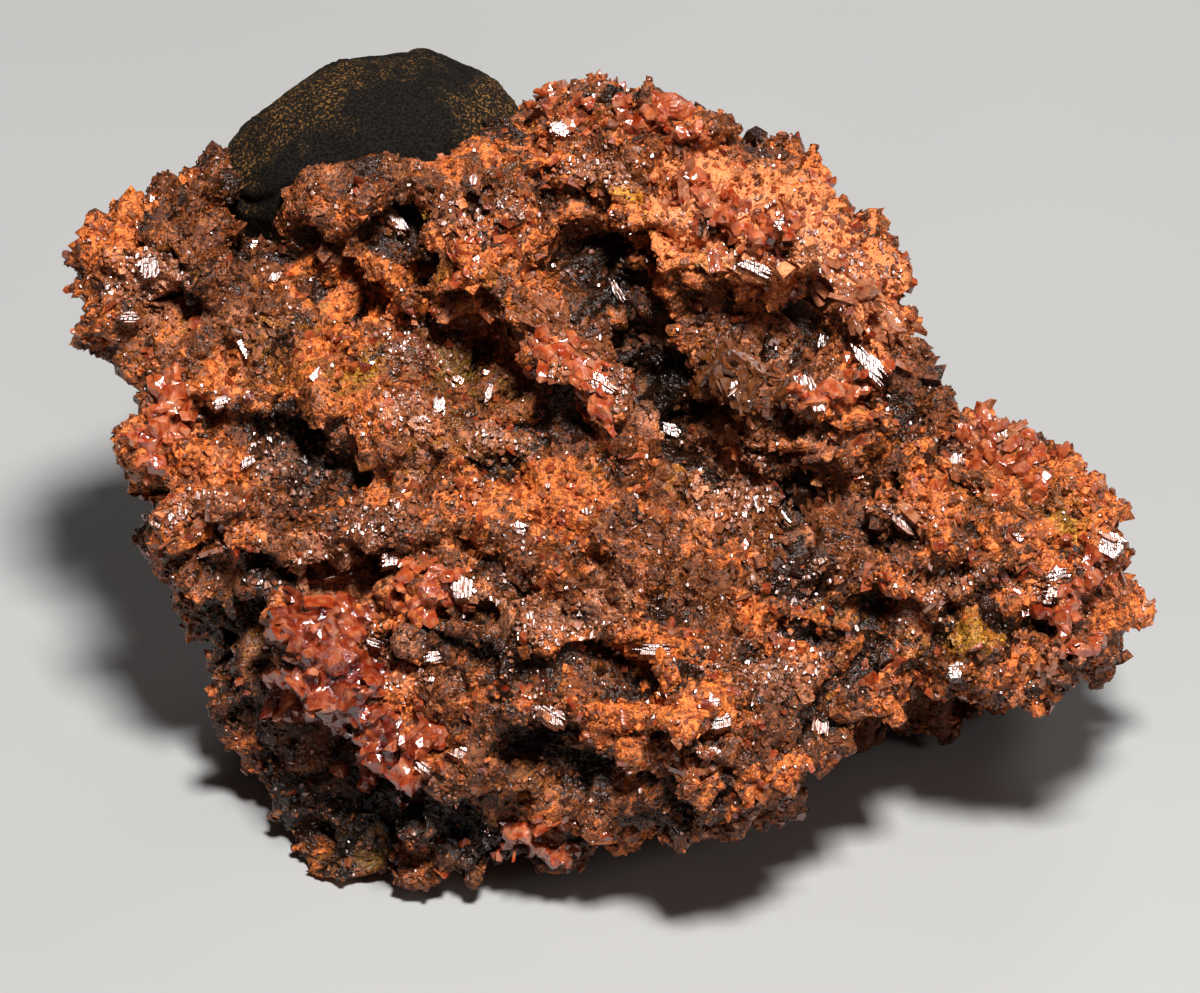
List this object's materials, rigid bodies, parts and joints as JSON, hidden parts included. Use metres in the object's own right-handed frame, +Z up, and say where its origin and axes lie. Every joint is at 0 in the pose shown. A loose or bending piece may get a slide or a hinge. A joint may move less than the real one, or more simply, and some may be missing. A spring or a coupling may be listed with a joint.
{
  "type": "crocoite crystals on matrix",
  "caption": "Hand-sized mineral specimen: a rough brown ironstone lump with a smooth black nodule in its upper edge and clusters of orange-red crocoite crystals; rests on a flat worn patch.",
  "frame": {"origin": "on the ground under the middle of the lump's box", "axes": "+Z up, +X to the right along the lump's length, -Y towards the viewer, whom the broad leaning face looks at"},
  "size_m": [0.0404, 0.0322, 0.0244],
  "materials": {
    "ironstone": "rough, earthy, with glints of fine crystals",
    "black_ironstone": "matte, fine-grained",
    "crocoite": "glassy, translucent crystal faces"
  },
  "bodies": {
    "root": {"matrix": "ironstone", "black_nodule": "black_ironstone", "crocoite_front_ledge": "crocoite", "crocoite_left_edge": "crocoite", "crocoite_right_shoulder": "crocoite", "crocoite_upper_blades": "crocoite", "crocoite_right_end": "crocoite", "crocoite_middle_ridge": "crocoite", "crocoite_hollow_blades": "crocoite", "crocoite_back_ridge": "crocoite", "crocoite_lower_lip": "crocoite", "crocoite_middle_knot": "crocoite"}
  },
  "joints": []
}
